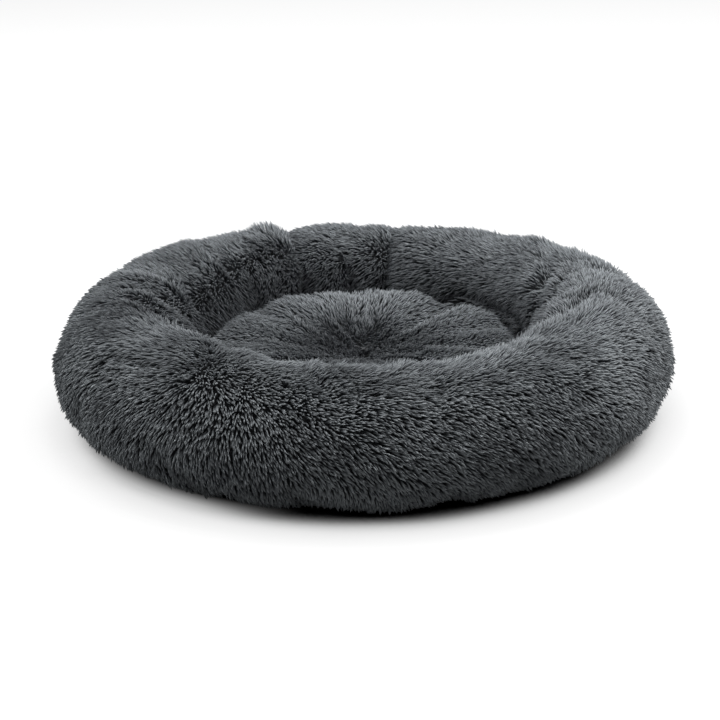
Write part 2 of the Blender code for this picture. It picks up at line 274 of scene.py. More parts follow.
# How the pile is combed on the ring: an angle, and pairs of place and direction there. Place is -2 at the outer
# seam, -1 at the outer waist, 0 on the crest and 1 at the inner waist. Direction 0 runs anticlockwise round the
# ring, and 90 inwards
RING_COMBING = (
    (0, (-1.3, -50), (-0.5, -45), (-0.2, -42), (0.1, 0), (0.45, 55), (0.9, 90)),
    (12, (0.1, 15), (0.5, 90), (0.8, 95)),
    (20, (-0.8, -45)),
    (24, (-0.1, 20), (0.3, 30), (0.6, 60), (0.9, 85)),
    (36, (0.0, 35), (0.3, 60), (0.6, 55), (0.9, 75)),
    (48, (0.0, 20), (0.4, -10), (0.7, 30), (0.9, 40)),
    (60, (-0.8, -45), (-0.1, -20), (0.1, -8), (0.5, 50)),
    (72, (-0.1, -12), (0.3, 25), (0.8, 35)),
    (84, (0.1, 12), (0.4, 70), (0.8, 30)),
    (96, (-0.1, -10), (0.3, -8), (0.7, 60)),
    (100, (-0.8, -50)),
    (108, (-0.1, -50), (0.1, -22), (0.4, 75), (0.8, 45)),
    (120, (-0.1, -80), (0.15, -12), (0.4, 100), (0.8, 20)),
    (132, (-0.1, -65), (0.2, -50), (0.6, 85), (0.9, 60)),
    (140, (-0.8, -50)),
    (144, (-0.1, -60), (0.15, -40), (0.4, -45), (0.65, 60), (0.95, 130)),
    (156, (-0.1, -55), (0.15, -62), (0.3, -45), (0.5, -42), (0.7, 82)),
    (168, (-0.4, -70), (-0.1, -56), (0.15, -65), (0.5, -38), (0.8, 90)),
    (180, (-0.6, -75), (-0.3, -60), (0.05, -40), (0.5, 60), (0.8, 60)),
    (192, (-0.7, -60), (-0.3, -75), (0.0, -75), (0.3, 25), (0.6, 60)),
    (204, (-0.8, -95), (-0.3, -75), (0.1, -75)),
    (210, (0.8, 50)),
    (216, (-1.1, -100), (-0.6, -98), (-0.3, -145), (0.1, -125)),
    (228, (-1.3, -60), (-1.0, -110), (-0.6, -98), (-0.3, -145), (0.1, -105), (0.35, 45)),
    (240, (-1.2, -20), (-0.75, -88), (-0.5, -75), (-0.3, -5), (0.1, 30), (0.35, 98)),
    (250, (0.8, 40)),
    (252, (-1.1, -60), (-0.6, -35), (-0.3, -20), (0.1, 10), (0.35, 72)),
    (264, (-1.3, -85), (-0.9, -30), (-0.5, -35), (-0.3, -15), (0.0, -28), (0.3, 25)),
    (276, (-1.1, -26), (-0.5, -36), (-0.3, -32), (0.0, 0), (0.25, 44)),
    (290, (-1.1, -38), (-0.5, -56), (-0.3, -20), (0.0, -10), (0.3, -30)),
    (300, (-1.2, -35), (-0.8, -45), (-0.4, -70), (0.1, -8), (0.8, 40)),
    (312, (-1.1, -50), (-0.5, -85), (-0.2, -60), (0.1, -30), (0.3, -35)),
    (324, (-1.1, -50), (-0.5, -32), (-0.1, -50), (0.3, -50)),
    (336, (-1.1, -45), (-0.75, -80), (-0.4, -28), (-0.1, -25), (0.2, 38)),
    (348, (-0.5, -45), (-0.2, -40), (0.1, 10), (0.5, 60)),
)

# Ruffled spots of longer, more upright pile: angle, place, reach, added lift and added length share
RUFFLES = (
    (115, -0.17, 0.014, 42, 0.5),
    (108, -0.1, 0.012, 14, 0.2),
    (40, -0.2, 0.012, 25, 0.2),
    (24, -0.12, 0.025, 26, 0.25),
    (152, -0.2, 0.030, 12, 0.15),
)
LOW_PLACE = -1.05
LOW_LIFT = 12
LOW_LENGTH_SHARE = -0.10
COMB_ANGLE_REACH = 9
COMB_PLACE_REACH = 0.21
COMB_FAR_REACH = 90
COMB_FAR_SHARE = 1e-7

# The cushion's pile lies away from a whorl, where it stands up
CUSHION_WHORL = (-0.010, 0.082)
CUSHION_RIM_DENTS = ((88, 11, 0.0022), (70, 12, -0.0015), (110, 13, -0.0022), (32, 12, -0.0010))
CUSHION_WHORL_REACH = 0.045
CUSHION_WHORL_LIFT = 44
CUSHION_OPEN_LIFT = -6
CUSHION_WHORL_DENT = 0.008
CUSHION_LENGTH_SHARE = 0.82

# The camera, fitted to the bed's outlines
EYE_ELEVATION = 19.27
EYE_DISTANCE = 2.33
EYE_TARGET_HEIGHT = 0.07
EYE_ROLL = -1.02
FOCAL_LENGTH_MM = 101.75
SENSOR_MM = 36
SHIFT_X = -0.0046
SHIFT_Y = -0.0157

# The floor to the camera: how much it glows, and the shares that the painted shadow leaves of that, close to the bed
# by how open the floor lies there, on the left by the distance from the shadow's middle, and further out
FLOOR_GLOW = 0.82
FLOOR_SHADOW_REACH = 0.10
SIDE_SHADOW_LIFT = 1.1
SHADOW_SHIFT = 0.012
LEFTWARD_SCALE = 4.5
LEFTWARD_SHARES = ((0.27, 0), (0.95, 1))
CREVICE_SHARES = ((0.20, 0), (0.225, 0.04), (0.315, 0.22), (0.40, 0.57), (0.465, 0.78), (0.565, 0.93), (0.85, 1))
LEFT_SHARES = (
    (0.295, 0), (0.30, 0.10), (0.305, 0.21), (0.31, 0.36), (0.32, 0.61), (0.335, 0.76), (0.35, 0.87), (0.375, 1),
)
FAR_SHARES = ((0.35, 0.90), (0.38, 0.885), (0.42, 0.94), (0.47, 1))

# The sky, and the softboxes: place, size and power in watts
SKY_COLOUR = (0.97, 0.985, 1.0)
SKY_STRENGTH = 0.12
SOFTBOXES = (
    ("top_softbox", (0.3, -0.15, 2.4), 1.6, 43),
    ("right_softbox", (1.9, 0.9, 1.2), 2.0, 35),
    ("left_softbox", (-2.0, 0.1, 1.4), 1.4, 24),
    ("back_softbox", (-1.1, 1.9, 1.5), 1.2, 10),
    ("front_softbox", (0.0, -2.4, 1.4), 1.4, 4),
)

rng = np.random.default_rng(81)


# Small helpers for the mesh work


def select_only(obj):
    bpy.ops.object.select_all(action="DESELECT")
    obj.select_set(True)
    bpy.context.view_layer.objects.active = obj


def apply_modifier(obj, kind, **settings):
    modifier = obj.modifiers.new(kind.lower(), kind)
    for name, value in settings.items():
        setattr(modifier, name, value)
    select_only(obj)
    bpy.ops.object.modifier_apply(modifier=modifier.name)


def new_object(name, data):
    obj = bpy.data.objects.new(name, data)
    bpy.context.scene.collection.objects.link(obj)
    return obj


def name_piece(obj, name):
    obj.name = name
    obj.data.name = name
    return obj


def dress(obj, material):
    obj.data.materials.clear()
    obj.data.materials.append(material)
    return obj


def points_of(obj):
    return np.array([vertex.co for vertex in obj.data.vertices])


def set_points(obj, points):
    obj.data.vertices.foreach_set("co", points.astype(np.float32).ravel())


def new_grid(name, columns, rows):
    """A grid primitive, and how far across it and up it each of its points is, from 0 to 1."""
    bpy.ops.object.select_all(action="DESELECT")
    bpy.ops.mesh.primitive_grid_add(x_subdivisions=columns, y_subdivisions=rows, size=2)
    obj = name_piece(bpy.context.object, name)
    where = points_of(obj)
    return obj, (where[:, 0] + 1) / 2, (where[:, 1] + 1) / 2


def merge_doubles(obj):
    select_only(obj)
    bpy.ops.object.mode_set(mode="EDIT")
    bpy.ops.mesh.select_all(action="SELECT")
    bpy.ops.mesh.remove_doubles(threshold=1e-6)
    bpy.ops.object.mode_set(mode="OBJECT")


def face_outwards(obj):
    select_only(obj)
    bpy.ops.object.mode_set(mode="EDIT")
    bpy.ops.mesh.select_all(action="SELECT")
    bpy.ops.mesh.normals_make_consistent(inside=False)
    shape = bmesh.from_edit_mesh(obj.data)
    if shape.calc_volume(signed=True) < 0:
        bpy.ops.mesh.flip_normals()
    bpy.ops.object.mode_set(mode="OBJECT")


# The outlines, as the solids have them


def ease(share):
    share = np.clip(share, 0, 1)
    return share * share * (3 - 2 * share)


def turn_between(angle, other):
    return (angle - other + 180) % 360 - 180


def fold_profile(off):
    return (1 + off * off) ** -1.5


def superellipse(share, squareness):
    turn = math.pi / 2 * np.clip(share, 0, 1)
    return np.cos(turn) ** (2 / squareness), np.sin(turn) ** (2 / squareness)


def crest_height(angle):
    rise = 0
    for count, share, top in CREST_WAVE_SHARES:
        rise = rise + share * np.cos(np.radians(count * (angle - top)))
    return BOLSTER_HEIGHT * (1 + rise)


def pleat_dent(angle, place):
    dent = 0
    for at, half_width, depth_share, reach_share, lean in PLEAT_SHARES:
        off = turn_between(angle, at + lean * (1 - place)) / half_width
        rise = ease((place + reach_share) / (PLEAT_FULL_SHARE + reach_share))
        fall = 1 - ease(place - 1)
        dent = dent + PLEAT_DEPTH * depth_share * rise * fall * fold_profile(off)
    return dent


def crease_reach(angle, place, line):
    """How far each spot lies from a crease's line, in metres along the cloth."""
    nearest = np.full(np.shape(place), 9.0)
    for (first_angle, first_place), (last_angle, last_place) in zip(line, line[1:]):
        run = turn_between(last_angle, first_angle) * CREASE_DEGREE
        rise = (last_place - first_place) * CREASE_PLACE
        across = turn_between(angle, first_angle) * CREASE_DEGREE
        up = (place - first_place) * CREASE_PLACE
        share = np.clip((across * run + up * rise) / (run * run + rise * rise), 0, 1)
        nearest = np.minimum(nearest, np.hypot(across - share * run, up - share * rise))
    return nearest


def ring_dent(angle, place):
    dent = pleat_dent(angle, place)
    for depth, half_width, line in CREASES:
        dent = dent + depth * fold_profile(crease_reach(angle, place, line) / half_width)
    return dent


def crease_closeness(angle, place):
    """From 0 on the open cloth to 1 in a crease."""
    close = np.zeros_like(place)
    for depth, half_width, line in CREASES:
        if depth > 0:
            close = np.maximum(close, np.exp(-((crease_reach(angle, place, line) / half_width) ** 2)))
    return close


def cushion_dent(angle, place):
    near_crest = np.exp(-(((place - 1) / 0.5) ** 2))
    back = 0
    for at, half_width, depth in CUSHION_RIM_DENTS:
        back = back + depth * near_crest * np.exp(-((turn_between(angle, at) / half_width) ** 2))
    radius = CUSHION_CREST_RADIUS * np.clip(2 - place, 0, 1)
    turn = np.radians(angle)
    off = np.hypot(radius * np.cos(turn) - CUSHION_WHORL[0], radius * np.sin(turn) - CUSHION_WHORL[1])
    return back + CUSHION_WHORL_DENT * np.exp(-((off / CUSHION_WHORL_REACH) ** 2)) * ease((place - 1) / 0.3)


def ring_outline(angle, place):
    """Radius and height of the ring over its pile, before its pleats."""
    crest_at = crest_height(angle)
    under_along, under_up = superellipse(-1 - place, UNDERSIDE_SQUARENESS)
    outside_along, outside_up = superellipse(place + 1, CROWN_SQUARENESS)
    inside_along, inside_up = superellipse(1 - place, CROWN_SQUARENESS)
    foot = np.clip(place - 1, 0, 1)
    stretches = [place < -1, place < 0, place < 1]
    radius = np.select(
        stretches,
        [
            OUTER_SEAM_RADIUS + (OUTER_RADIUS - OUTER_SEAM_RADIUS) * under_along,
            CREST_RADIUS + (OUTER_RADIUS - CREST_RADIUS) * outside_along,
            CREST_RADIUS + (INNER_WAIST_RADIUS - CREST_RADIUS) * inside_along,
        ],
        INNER_WAIST_RADIUS + INNER_SEAM_TUCK * foot**2,
    )
    height = np.select(
        stretches,
        [
            OUTER_WAIST_HEIGHT + (DOT_HEIGHT - OUTER_WAIST_HEIGHT) * under_up,
            OUTER_WAIST_HEIGHT + (crest_at - OUTER_WAIST_HEIGHT) * outside_up,
            INNER_WAIST_HEIGHT + (crest_at - INNER_WAIST_HEIGHT) * inside_up,
        ],
        INNER_WAIST_HEIGHT + (BASE_TOP + SEAM_GAP - INNER_WAIST_HEIGHT) * foot,
    )
    return radius, height


def cushion_tuck(angle, place):
    return (CUSHION_HEIGHT - cushion_crest(angle)) * np.clip(place, 0, 1)


def cushion_crest(angle):
    drop = 0
    for at, half_width, depth_share in CUSHION_TUCK_SHARES:
        drop = drop + CUSHION_TUCK_DEPTH * depth_share * fold_profile(turn_between(angle, at) / half_width)
    return CUSHION_HEIGHT - drop


def cushion_outline(angle, place):
    """Radius and height of the cushion over its pile. Place is -1 at its seam, 0 at the waist, 1 on its crest
    and 2 at the tie."""
    top = cushion_crest(angle)
    foot = np.clip(-place, 0, 1)
    along, up = superellipse(place, CUSHION_SQUARENESS)
    dish = np.clip(2 - place, 0, 1)
    rise = np.sin(math.pi / 2 * dish) ** CUSHION_DISH_ROUNDNESS
    side_radius = INNER_WAIST_RADIUS - SEAM_GAP
    stretches = [place < 0, place < 1]
    radius = np.select(
        stretches,
        [
            side_radius + INNER_SEAM_TUCK * foot**2,
            CUSHION_CREST_RADIUS + (side_radius - CUSHION_CREST_RADIUS) * along,
        ],
        TIE_HOLE_RADIUS + (CUSHION_CREST_RADIUS - TIE_HOLE_RADIUS) * dish,
    )
    height = np.select(
        stretches,
        [
            INNER_WAIST_HEIGHT + (BASE_TOP + SEAM_GAP - INNER_WAIST_HEIGHT) * foot,
            INNER_WAIST_HEIGHT + (top - INNER_WAIST_HEIGHT) * up,
        ],
        CUSHION_DIMPLE_HEIGHT + (top - CUSHION_DIMPLE_HEIGHT) * rise,
    )
    return radius, height


def ring_pile_depth(place):
    """How far the cloth lies under the tips of its pile."""
    near_seam = ease((place + 2) / 0.7)
    near_wall = ease((place - 0.5) / 0.5)
    depth = SEAM_PILE_DEPTH + (PILE_DEPTH - SEAM_PILE_DEPTH) * near_seam
    return depth + (WALL_PILE_DEPTH - PILE_DEPTH) * near_wall


def cushion_pile_depth(place):
    near_wall = 1 - ease(place / 0.5)
    near_dimple = ease((place - 1.5) / 0.5)
    depth = PILE_DEPTH + (WALL_PILE_DEPTH - PILE_DEPTH) * near_wall
    return depth + (DIMPLE_PILE_DEPTH - PILE_DEPTH) * near_dimple


class Skin:
    """A cloth that goes round Z: a grid of points, angle by place, with its normals and its own two ways."""

    def __init__(self, outline, dent, depth, places, columns):
        self.columns = columns
        self.places = places
        angles = np.arange(columns) * 360 / columns
        angle, place = np.meshgrid(angles, places, indexing="ij")
        radius, height = outline(angle, place)
        run, rise = np.gradient(radius, axis=1), np.gradient(height, axis=1)
        length = np.hypot(run, rise)
        sunk = dent(angle, place) + depth(place)
        for count, slant, top, size in STUFFING_WAVES:
            sunk = sunk + size * (1 - np.cos(np.radians(count * (angle - top)) + slant * place)) / 2
        radius = radius - rise / length * sunk
        height = height + run / length * sunk
        turn = np.radians(angle)
        height = np.maximum(height, BASE_TOP + SEAM_GAP + COVER_THICKNESS)
        self.points = np.stack([radius * np.cos(turn), radius * np.sin(turn), height], axis=2)
        self.measure()

    def measure(self):
        """Works out the normals and ways from the points."""
        around = np.roll(self.points, -1, axis=0) - np.roll(self.points, 1, axis=0)
        along = np.gradient(self.points, axis=1)
        self.normals = unit(np.cross(around, along))
        self.around = unit(around)
        self.along = unit(np.cross(self.normals, self.around))

    def at(self, angle, place):
        """Points, normals and ways at these angles and places."""
        column = np.asarray(angle) % 360 / 360 * self.columns
        row = np.interp(place, self.places, np.arange(len(self.places)))
        left = np.floor(column).astype(int) % self.columns
        low = np.minimum(np.floor(row).astype(int), len(self.places) - 2)
        across, up = (column - np.floor(column))[:, None], (row - low)[:, None]
        found = []
        for grid in (self.points, self.normals, self.around, self.along):
            lower = grid[left, low] * (1 - across) + grid[(left + 1) % self.columns, low] * across
            upper = grid[left, low + 1] * (1 - across) + grid[(left + 1) % self.columns, low + 1] * across
            found.append(lower * (1 - up) + upper * up)
        return found[0], unit(found[1]), unit(found[2]), unit(found[3])


def unit(vectors):
    return vectors / np.maximum(np.linalg.norm(vectors, axis=-1, keepdims=True), 1e-12)


def broad(shift):
    """The broad part of a shift over a cover, averaged over its neighbours round and along the cloth."""
    around = sum(np.roll(shift, step, axis=0) for step in range(-BROAD_COLUMNS, BROAD_COLUMNS + 1))
    wide = np.pad(around, ((0, 0), (BROAD_ROWS, BROAD_ROWS), (0, 0)), mode="edge")
    rows = shift.shape[1]
    along = sum(wide[:, step : step + rows] for step in range(2 * BROAD_ROWS + 1))
    return along / ((2 * BROAD_COLUMNS + 1) * (2 * BROAD_ROWS + 1))


def stuff(name, skin, held, stride):
    """Lets the stuffing press a cover out in a cloth simulation, held at its seams and pleats. The cover keeps
    its measured outline, and takes the swells and puckers from the simulation."""
    start = skin.points - skin.normals * (STUFFING_SINK * (1 - held))[..., None]
    sewn = start[::stride]
    columns, rows = sewn.shape[:2]
    number = np.arange(columns * rows).reshape(columns, rows)
    right, above = np.roll(number, -1, axis=0), np.roll(number, -1, axis=1)
    corners = np.stack([number, right, np.roll(right, -1, axis=1), above], axis=2).reshape(-1, 4)
    mesh = bpy.data.meshes.new(name)
    mesh.from_pydata(sewn.reshape(-1, 3).tolist(), [], corners.tolist())
    obj = new_object(name, mesh)
    group = obj.vertex_groups.new(name="sewn")
    for index, weight in enumerate(held[::stride].ravel()):
        group.add([index], float(weight), "REPLACE")
    cloth = obj.modifiers.new("cloth", "CLOTH")
    cloth.settings.quality = 5
    cloth.settings.use_pressure = True
    cloth.settings.uniform_pressure_force = STUFFING_PRESSURE
    cloth.settings.vertex_group_mass = "sewn"
    cloth.settings.effector_weights.gravity = 0
    cloth.settings.shrink_min = -CLOTH_FULLNESS
    cloth.point_cache.frame_end = STUFFING_FRAMES
    for frame in range(1, STUFFING_FRAMES + 1):
        bpy.context.scene.frame_set(frame)
    select_only(obj)
    bpy.ops.object.modifier_apply(modifier=cloth.name)
    pressed = np.empty(columns * rows * 3, np.float32)
    obj.data.vertices.foreach_get("co", pressed)
    bpy.data.objects.remove(obj, do_unlink=True)
    bpy.context.scene.frame_set(1)
    shift = pressed.reshape(columns, rows, 3) - skin.points[::stride]
    shift = shift - broad(shift)
    size = np.linalg.norm(shift, axis=2, keepdims=True)
    shift = shift * np.minimum(1, STUFFING_REACH / np.maximum(size, 1e-9)) * (1 - held[::stride])[..., None]
    points = skin.points.copy()
    for step in range(stride):
        share = step / stride
        points[step::stride] += shift * (1 - share) + np.roll(shift, -1, axis=0) * share
    skin.points = points
    skin.measure()


# Materials


def new_material(name, colour, roughness):
    """A material of this colour and roughness, its nodes and its shader."""
    material = bpy.data.materials.new(name)
    material.use_nodes = True
    shader = set_inputs(material.node_tree.nodes["Principled BSDF"], Base_Color=colour, Roughness=roughness)
    return material, material.node_tree, shader


def feed(socket, value):
    """Links an input to another node's output, or sets it to a colour or a number."""
    if isinstance(value, bpy.types.NodeSocket):
        socket.id_data.links.new(value, socket)
    else:
        socket.default_value = (*value, 1) if isinstance(value, tuple) else value


def set_inputs(node, **values):
    """Feeds inputs by name, with _ for a space."""
    for name, value in values.items():
        feed(node.inputs[name.replace("_", " ")], value)
    return node


def new_node(tree, kind, **values):
    """A shader node of this kind with these inputs."""
    return set_inputs(tree.nodes.new(f"ShaderNode{kind}"), **values)


def math_node(tree, operation, *values):
    node = tree.nodes.new("ShaderNodeMath")
    node.operation = operation
    for socket, value in zip(node.inputs, values):
        feed(socket, value)
    return node.outputs[0]


def ramp_node(tree, value, stops, smooth=False):
    """The colour of a ramp through these stops, each a place and a colour or a grey."""
    node = new_node(tree, "ValToRGB", Fac=value)
    node.color_ramp.interpolation = "EASE" if smooth else "LINEAR"
    elements = node.color_ramp.elements
    while len(elements) < len(stops):
        elements.new(0.5)
    for element, (position, colour) in zip(elements, stops):
        element.position = position
        element.color = (*(colour if isinstance(colour, tuple) else (colour,) * 3), 1)
    return node.outputs["Color"]


def mix_node(tree, blend, factor, first, second):
    node = tree.nodes.new("ShaderNodeMix")
    node.data_type = "RGBA"
    node.blend_type = blend
    for index, value in ((0, factor), (6, first), (7, second)):
        feed(node.inputs[index], value)
    return node.outputs[2]


def pile_material():
    """Long pile: dark at the root, which paints the shade deep between the locks, paler to the tip, with its fibres
    as fine streaks. Its own map holds the tone across and the way from root to tip upwards."""
    material, tree, shader = new_material("charcoal_pile", (0.10, 0.11, 0.12), 0.62)
    own_map = tree.nodes.new("ShaderNodeUVMap")
    split = new_node(tree, "SeparateXYZ", Vector=own_map.outputs["UV"])
    across, along = split.outputs["X"], split.outputs["Y"]
    colour, shade = ramp_node(tree, along, PILE_COLOURS_AND_ROOT_SHADE), ramp_node(tree, across, PILE_TONES_AND_PAINTED_SHADE)
    colour = mix_node(tree, "MULTIPLY", 1.0, colour, shade)
    place = new_node(
        tree,
        "CombineXYZ",
        X=math_node(tree, "MULTIPLY", across, PILE_TONES * FIBRES_ACROSS),
        Y=math_node(tree, "MULTIPLY", along, FIBRE_WAVES_ALONG),
    )
    fibres = new_node(tree, "TexNoise", Scale=1, Detail=2, Vector=place.outputs[0]).outputs["Fac"]
    set_inputs(
        shader,
        Base_Color=mix_node(tree, "MULTIPLY", 1.0, colour, ramp_node(tree, fibres, FIBRE_SHADES)),
        Roughness=math_node(tree, "MULTIPLY_ADD", fibres, 0.25, 0.5),
        Specular_IOR_Level=0.35,
        Sheen_Weight=0.12,
        Sheen_Roughness=0.45,
        Sheen_Tint=(0.72, 0.80, 0.88),
    )
    return material


def backing_material():
    """The knitted ground that the pile stands in, paler on its loops with painted shade in the gaps between them."""
    material, tree, shader = new_material("charcoal_knit", (0.016, 0.018, 0.020), 0.9)
    place = tree.nodes.new("ShaderNodeTexCoord")
    loops = new_node(tree, "TexVoronoi", Scale=520, Vector=place.outputs["Object"]).outputs["Distance"]
    bump = new_node(tree, "Bump", Strength=0.5, Distance=0.0004, Height=loops)
    bump.invert = True
    # Painted shade: darker towards the gaps between the knit's loops
    colour = ramp_node(tree, loops, ((0.0, (0.024, 0.027, 0.030)), (0.9, (0.007, 0.008, 0.009))))
    set_inputs(shader, Base_Color=colour, Normal=bump.outputs["Normal"])
    return material


def oxford_material():
    """Black coated plain weave: threads over and under, a little paler where they stand up, with painted light on
    their crowns and painted shade in the dips between them.
    """
    material, tree, shader = new_material("black_oxford", (0.022, 0.023, 0.025), 0.6)
    place = tree.nodes.new("ShaderNodeTexCoord").outputs["Object"]
    split = new_node(tree, "SeparateXYZ", Vector=place)
    waves = []
    for axis in ("X", "Y"):
        turn = math_node(tree, "MULTIPLY", split.outputs[axis], math.pi / THREAD_PITCH)
        waves.append(math_node(tree, "SINE", turn))
    over = math_node(tree, "MULTIPLY", *waves)
    rise = math_node(tree, "ABSOLUTE", over)
    noise = new_node(tree, "TexNoise", Scale=900, Detail=2, Vector=place).outputs["Fac"]
    side = math_node(tree, "GREATER_THAN", over, 0)
    # Painted light and shade: paler where the threads stand up, darker in the dips between them
    shade = math_node(tree, "MULTIPLY_ADD", side, 0.25, math_node(tree, "MULTIPLY", rise, 0.5))
    shade = math_node(tree, "MULTIPLY_ADD", noise, 0.3, shade)
    bump = new_node(tree, "Bump", Strength=0.7, Distance=0.0003, Height=rise)
    set_inputs(
        shader,
        Base_Color=ramp_node(tree, shade, ((0.1, (0.009, 0.0095, 0.010)), (0.95, (0.038, 0.040, 0.043)))),
        Roughness=math_node(tree, "MULTIPLY_ADD", rise, -0.2, 0.66),
        Specular_IOR_Level=0.4,
        Normal=bump.outputs["Normal"],
    )
    return material


def mottled_material(name, colour, roughness, scale, detail, distortion, stops, relief, relief_depth, span=None):
    """A surface under fine noise, which gives its colour, its relief and, with a span and a least, its roughness."""
    material, tree, shader = new_material(name, colour, roughness)
    place = tree.nodes.new("ShaderNodeTexCoord").outputs["Object"]
    noise = new_node(tree, "TexNoise", Scale=scale, Detail=detail, Distortion=distortion, Vector=place).outputs["Fac"]
    bump = new_node(tree, "Bump", Strength=relief, Distance=relief_depth, Height=noise)
    set_inputs(shader, Base_Color=ramp_node(tree, noise, stops), Normal=bump.outputs["Normal"])
    if span:
        set_inputs(shader, Roughness=math_node(tree, "MULTIPLY_ADD", noise, *span))
    return material


def fibre_material():
    """Loose white polyester fibre, fine curls laid every way."""
    stops = ((0.3, (0.60, 0.60, 0.58)), (0.65, (0.88, 0.88, 0.86)))
    material = mottled_material(
        "white_fibre", (0.80, 0.80, 0.78), 0.85,
        scale=260, detail=5, distortion=2.5, stops=stops, relief=0.6, relief_depth=0.001,
    )
    set_inputs(material.node_tree.nodes["Principled BSDF"], Sheen_Weight=0.3)
    return material


def dot_material():
    """Moulded rubber, dusted matt in fine patches."""
    stops = ((0.35, (0.012, 0.012, 0.013)), (0.7, (0.030, 0.030, 0.031)))
    return mottled_material(
        "black_rubber", (0.016, 0.016, 0.017), 0.5,
        scale=420, detail=3, distortion=0, stops=stops, relief=0.2, relief_depth=0.0002, span=(0.35, 0.35),
    )


def twine_material():
    """Grey waxed twine with its fibres in fine bands."""
    stops = ((0.3, (0.026, 0.028, 0.030)), (0.7, (0.075, 0.080, 0.086)))
    return mottled_material(
        "grey_twine", (0.045, 0.048, 0.052), 0.55,
        scale=1500, detail=3, distortion=1.2, stops=stops, relief=0.5, relief_depth=0.0002, span=(0.3, 0.4),
    )


# The pile


def lock_template(steps, shares):
    """One lock of pile, a closed three-sided taper one unit long: its points, faces and map."""
    bpy.ops.object.select_all(action="DESELECT")
    bpy.ops.mesh.primitive_cone_add(vertices=3, radius1=1, radius2=0, depth=1, location=(0, 0, 0.5))
    lock = bpy.context.object
    bpy.ops.object.transform_apply(location=True)
    bpy.ops.object.mode_set(mode="EDIT")
    for height in steps[1:-1]:
        bpy.ops.mesh.select_all(action="SELECT")
        bpy.ops.mesh.bisect(plane_co=(0, 0, height), plane_no=(0, 0, 1))
    bpy.ops.object.mode_set(mode="OBJECT")
    mesh = lock.data
    points = points_of(lock)
    around = np.arctan2(points[:, 1], points[:, 0])
    width = np.interp(points[:, 2], steps, shares)
    faces, maps = [], []
    for face in mesh.polygons:
        corners = list(face.vertices)
        faces.append(corners)
        faces_down = face.normal.z < -0.9
        middle = math.atan2(face.center.y, face.center.x)
        for corner in corners:
            along = points[corner, 2]
            if faces_down:
                maps.append((0.5 + 0.3 * math.cos(around[corner]), 0.02 + 0.015 * math.sin(around[corner])))
                continue
            side = (middle / math.tau) % 1
            off = turn_between(math.degrees(around[corner]), math.degrees(middle)) / 360
            if width[corner] == 0:
                off = 0
            maps.append(((side + off * 0.98) % 1, along))
    bpy.data.objects.remove(lock, do_unlink=True)
    flat = np.stack([np.cos(around) * width, np.sin(around) * width], axis=1)
    return flat, points[:, 2], faces, np.array(maps), np.array(steps)


def combed(marks, angle, place):
    """The direction of combing, as a unit vector round and along the cloth, from the marks near each root."""
    sums = np.zeros((len(angle), 2))
    for at, *spots in marks:
        off = turn_between(angle, at)
        for level, direction in spots:
            near = np.exp(-((off / COMB_ANGLE_REACH) ** 2) - ((place - level) / COMB_PLACE_REACH) ** 2)
            near = near + COMB_FAR_SHARE * np.exp(-((off / COMB_FAR_REACH) ** 2) - (place - level) ** 2)
            turn = math.radians(direction)
            sums += near[:, None] * (math.cos(turn), math.sin(turn))
    return unit(sums)


def slow_noise(angle, place, counts, seed):
    """A smooth wave field from -1 to 1 over a cloth."""
    draw = np.random.default_rng(seed)
    total = np.zeros_like(angle)
    for count in counts:
        top = draw.uniform(0, 360)
        slant = draw.uniform(-1, 1) * count * 0.55
        total += np.cos(np.radians(count * (angle - top)) + slant * place)
    return total / len(counts) * 1.3


def pile_roots(skin, first, last, spacing_at):
    """Roots in rows along the cloth, from one place to another, each row set off against the last."""
    steps = np.linspace(first, last, 600)
    middle = np.array([skin.at(np.arange(0, 360, 15), np.full(24, step))[0] for step in steps])
    strides = np.linalg.norm(np.diff(middle, axis=0), axis=2).mean(axis=1)
    travelled = np.concatenate([[0], np.cumsum(strides)])
    radius = np.hypot(middle[:, :, 0], middle[:, :, 1]).mean(axis=1)
    angles, places = [], []
    at, row = 0.0, 0
    while at < travelled[-1]:
        place = np.interp(at, travelled, steps)
        spacing = spacing_at(place)
        count = max(3, round(math.tau * np.interp(at, travelled, radius) / spacing))
        shift = rng.uniform(-0.36, 0.36, (2, count))
        angles.append((np.arange(count) + 0.5 * (row % 2) + shift[0]) / count * 360)
        places.append(np.interp(at + shift[1] * spacing, travelled, steps))
        at += spacing * math.sin(math.radians(60))
        row += 1
    return np.concatenate(angles) % 360, np.concatenate(places)


def whorl(skin, angle, place):
    """The direction of combing away from the cushion's whorl, and how far from it each root is."""
    root, _, around, along = skin.at(angle, place)
    away = root - (*CUSHION_WHORL, 0)
    away[:, 2] = 0
    reach = np.linalg.norm(away, axis=1)
    return unit(np.stack([(away * around).sum(axis=1), (away * along).sum(axis=1)], axis=1)), reach


def ruffled(angle, place):
    """How much more each lock of the ring lifts, and its length share."""
    lift, stretch = np.zeros(len(angle)), np.ones(len(angle))
    for at, level, reach, more_lift, more_length in RUFFLES:
        near = np.exp(-((crease_reach(angle, place, ((at, level), (at + 0.5, level))) / reach) ** 2))
        lift += more_lift * near
        stretch += more_length * near
    low = ease((LOW_PLACE - place) / 0.25)
    return lift + LOW_LIFT * low, stretch + LOW_LENGTH_SHARE * low


